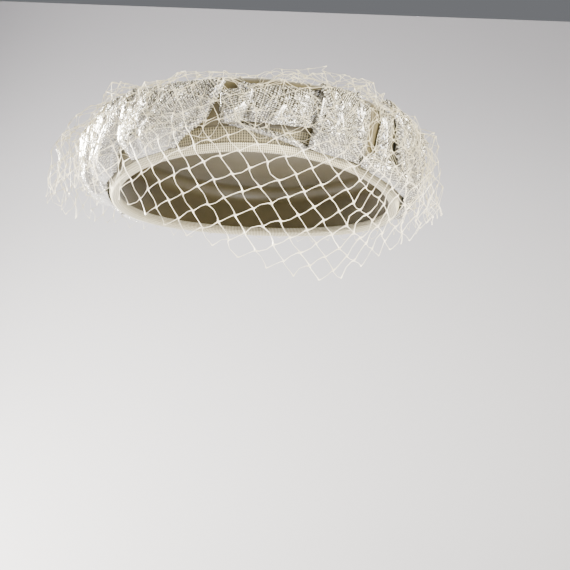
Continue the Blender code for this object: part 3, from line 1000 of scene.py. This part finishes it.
    def add_tip(self, tops: list[int]) -> None:
        """Knots the flat net over the tip and ties the skirt's topmost knots to it."""
        edge = np.array([HEAD_WIDTH / 2 + SHOULDER_OUT, HEAD_DEPTH / 2 + SHOULDER_OUT])
        turn = math.radians(self.lean)
        made: dict[tuple[int, int], int] = {}
        cells = range(-self.tip_cells, self.tip_cells + 1)
        for i in cells:
            for j in cells:
                x, y = i * self.half_wide, j * self.half_tall
                place = np.array([x * math.cos(turn) - y * math.sin(turn),
                                  x * math.sin(turn) + y * math.cos(turn)])
                share = float(np.hypot(*(place / edge)))
                if (i + j) % 2 == 0 and share < self.tip_share:
                    azimuth = math.degrees(math.atan2(place[0] / edge[0], -place[1] / edge[1]))
                    point = on_tip(azimuth, share, self.over_tip(share))
                    made[i + OPEN_LATTICE // 2, j + OPEN_LATTICE // 2] = self.knot(point, self.tip_slack)
        self.tie(made, OPEN_LATTICE, 1.0)
        numbers = np.array(list(made.values()))
        places = np.array([self.points[n] for n in numbers])
        for top in tops:
            near = int(np.argmin(np.linalg.norm(places - self.points[top], axis=1)))
            self.strands.append((top, int(numbers[near]), self.tie_weight))

    def add_crumple(self, layer: Crumple, seed: float) -> None:
        """Knots a further layer of the net, pressed and crumpled over the straw."""
        made: dict[tuple[int, int], int] = {}
        middle = math.radians((layer.first + layer.last) / 2)
        radius = math.hypot(HEAD_WIDTH / 2 * math.cos(middle), HEAD_DEPTH / 2 * math.sin(middle))
        radius += CROWN_FLARE
        half_round = math.radians(layer.last - layer.first) / 2 * radius
        half_up = (layer.high - layer.low) / 2
        turn = math.radians(layer.turn)
        reach = math.ceil((half_round + half_up) / layer.pitch) + 1
        for i in range(-reach, reach + 1):
            for j in range(-reach, reach + 1):
                if (i + j) % 2:
                    continue
                x = (i * math.cos(turn) - j * math.sin(turn)) * layer.pitch
                y = (i * math.sin(turn) + j * math.cos(turn)) * layer.pitch
                drift = layer.height * rumple(np.array([x, y, 0.0]), self.crumple_size, seed)
                x, y = x + drift[0], y + drift[1]
                if abs(x) > half_round or abs(y) > half_up:
                    continue
                azimuth = (layer.first + layer.last) / 2 + math.degrees(x / radius)
                climb = (layer.low + layer.high) / 2 + y
                base, far = (Vector(on_side(azimuth, climb, lift)) for lift in (0.0, 40 * MM))
                hit = self.cover.ray_cast(far, base - far)[0] or base
                peak = layer.peak * math.cos(math.pi * x / half_round / 2)
                peak *= math.cos(math.pi * y / half_up / 2)
                lift = (hit - base).length + self.thread + abs(drift[2]) + peak
                number = self.knot(on_side(azimuth, climb, lift), self.crumple_slack)
                made[i + OPEN_LATTICE // 2, j + OPEN_LATTICE // 2] = number
        self.tie(made, OPEN_LATTICE, self.crumple_weight)

    def fineness(self, a: Array, b: Array) -> float:
        """The share of its full thickness that a thread from a to b keeps."""
        share = 1 - self.finer_above * blend((a[2] + b[2]) / 2, *self.above)
        if a[2] < self.beside_below:
            share *= 1 - self.finer_beside * blend(abs((a[0] + b[0]) / 2), *self.beside)
        return share

    def build(self) -> tuple[bpy.types.Object, tuple[float, float]]:
        """Makes the net's threads and dresses them.

        Returns:
            The net, and its flat width and length.
        """
        tops, wide = self.add_skirt()
        self.add_tip(tops)
        for number, layer in enumerate(self.crumples):
            self.add_crumple(layer, CRUMPLE_FIELD + number)
        draw = np.random.default_rng(BOW_DRAW)
        curve = bpy.data.curves.new("veil_threads", "CURVE")
        curve.dimensions = "3D"
        curve.bevel_depth = self.thread / 2
        curve.bevel_resolution = 0
        curve.use_fill_caps = True
        for start, end, weight in self.strands:
            a, b = self.points[start], self.points[end]
            bow = self.bow * np.linalg.norm(b - a) * draw.normal(size=3)
            twist = self.twist * np.cross(b - a, a / np.linalg.norm(a))
            finer = self.fineness(a, b)
            spline = curve.splines.new("POLY")
            spline.points.add(len(self.stops) - 1)
            for point, (t, thick) in zip(spline.points, self.stops):
                middle = a + (b - a) * t + bow * math.sin(math.pi * t) + twist * math.sin(2 * math.pi * t)
                point.co = (*(self.settle(middle) if 0 < t < 1 else middle), 1.0)
                point.radius = thick * weight * finer
        deselect_all()
        net = bpy.data.objects.new("veil_net", curve)
        bpy.context.scene.collection.objects.link(net)
        net.select_set(True)
        bpy.context.view_layer.objects.active = net
        bpy.ops.object.convert(target="MESH")
        net = bpy.context.object
        finish_piece(net, self.finish.material(), ["veil"])
        return net, (wide, self.path(self.longest_at)[-1, 0])


class Lamp(NamedTuple):
    """A square soft light that faces the origin: its place and size in metres, and its power in watts."""

    name: str
    place: tuple[float, float, float]
    size: float
    power: float
    color: str


@dataclass
class Studio:
    """A pale sweep of backdrop, soft lights and the photograph's camera."""

    floor: float = -320 * MM
    reach: float = 2.6
    sweep: float = 0.9
    bend_radius: float = 0.8
    paper: str = "#B9B9C0"
    # The paper is painted darker higher up, as painted shade.
    paper_in_shade: str = "#6C6C73"
    shade_from: float = -0.3
    shade_full: float = 1.0
    sky: str = "#DDE0E6"
    sky_strength: float = 0.23
    lamps: tuple[Lamp, ...] = (
        Lamp("left", (-1.38, 0.5, 0.25), 0.5, 360.0, "#FFFAEC"),
        Lamp("right", (1.2, -0.85, 0.1), 0.5, 112.0, "#FFF9E8"),
        Lamp("front", (0.3, -1.25, -0.28), 0.25, 25.0, "#FCFBFF"),
    )
    focal: float = 63.16
    pitch: float = -10.0
    roll: float = 2.2
    yaw: float = -0.3
    eye: tuple[float, float, float] = (22.2 * MM, -562.7 * MM, -145.4 * MM)

    def sweep_surface(self, u: Array, v: Array) -> Array:
        """The floor, which rises in one smooth curve behind the hat."""
        far = (v - 0.5) * 2 * self.reach
        past = np.maximum(far - self.sweep, 0)
        radius = self.bend_radius
        bend = np.minimum(past / radius, math.pi / 2)
        y = np.minimum(far, self.sweep) + radius * np.sin(bend)
        z = self.floor + radius * (1 - np.cos(bend)) + np.maximum(past - radius * math.pi / 2, 0)
        return np.column_stack([u * self.reach, y, z])

    def build(self) -> None:
        """Makes the backdrop, the lights, the sky and the camera."""
        sheet = lay_cloth("backdrop", 40, 120, self.sweep_surface, (1, 1))
        paper, tree, shader = new_material("backdrop_paper", {"Roughness": 0.95})
        place = add_node(tree, "ShaderNodeTexCoord", {}, {})
        split = add_node(tree, "ShaderNodeSeparateXYZ", {}, {"Vector": place.outputs["Object"]})
        # Painted shade: the paper darkens with height.
        height = add_node(tree, "ShaderNodeMapRange", {"interpolation_type": "SMOOTHSTEP"}, {
            "Value": split.outputs[2], "From Min": self.shade_from, "From Max": self.shade_full})
        color = two_tones(tree, height.outputs[0], self.paper, self.paper_in_shade)
        tree.links.new(color.outputs[2], shader.inputs["Base Color"])
        sheet.data.materials.append(paper)
        sheet.data.shade_smooth()
        world = bpy.data.worlds.new("studio")
        bpy.context.scene.world = world
        world.use_nodes = True
        background = world.node_tree.nodes["Background"]
        background.inputs["Color"].default_value = linear(self.sky)
        background.inputs["Strength"].default_value = self.sky_strength
        for lamp in self.lamps:
            light = bpy.data.lights.new(lamp.name, "AREA")
            light.size = lamp.size
            light.energy = lamp.power
            light.color = linear(lamp.color)[:3]
            stand = bpy.data.objects.new(lamp.name, light)
            bpy.context.scene.collection.objects.link(stand)
            stand.location = lamp.place
            stand.rotation_euler = (-Vector(lamp.place)).to_track_quat("-Z", "Y").to_euler()
        data = bpy.data.cameras.new("camera")
        data.lens = self.focal
        data.clip_start = 0.01
        camera = bpy.data.objects.new("camera", data)
        bpy.context.scene.collection.objects.link(camera)
        turns = (Matrix.Rotation(math.radians(self.roll), 4, "Y")
                 @ Matrix.Rotation(math.radians(self.pitch), 4, "X")
                 @ Matrix.Rotation(math.radians(self.yaw), 4, "Z"))
        camera.matrix_world = (Matrix.Translation(self.eye) @ turns.transposed()
                               @ Matrix.Rotation(math.pi / 2, 4, "X"))
        bpy.context.scene.camera = camera


def main() -> None:
    """Builds the hat round the frame, then the studio."""
    logging.basicConfig(level=logging.INFO, format="%(message)s")
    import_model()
    crown = Foundation().build(SatinFinish())
    pale = RibFinish("binding_grosgrain", light="#CBC2A2", dark="#3E361D", pitch=1.1 * MM)
    binding = Ribbon("rim_binding_ribbon", "rim_binding", binding_section(), pale, Held.FOLDED,
                     cut_width=2 * BINDING_HEIGHT + 3 * BINDING_CLOTH).build()
    # The band's ribbon is painted dark and greenish, far below its own cream, as painted shade under the
    # straw.
    shaded_band_ribs = RibFinish("band_grosgrain", light="#746B4B", dark="#1C1708", pitch=1.3 * MM)
    band = Ribbon("side_band_ribbon", "side_band", band_section(), shaded_band_ribs, Held.STRETCHED,
                  cut_width=BAND_HEIGHT).build()
    folds = StrawFolds(StrawFinish()).build()
    net, flat = Veil(ThreadFinish(), lay_under([crown, binding, band, *folds])).build()
    Studio().build()


if __name__ == "__main__":
    main()
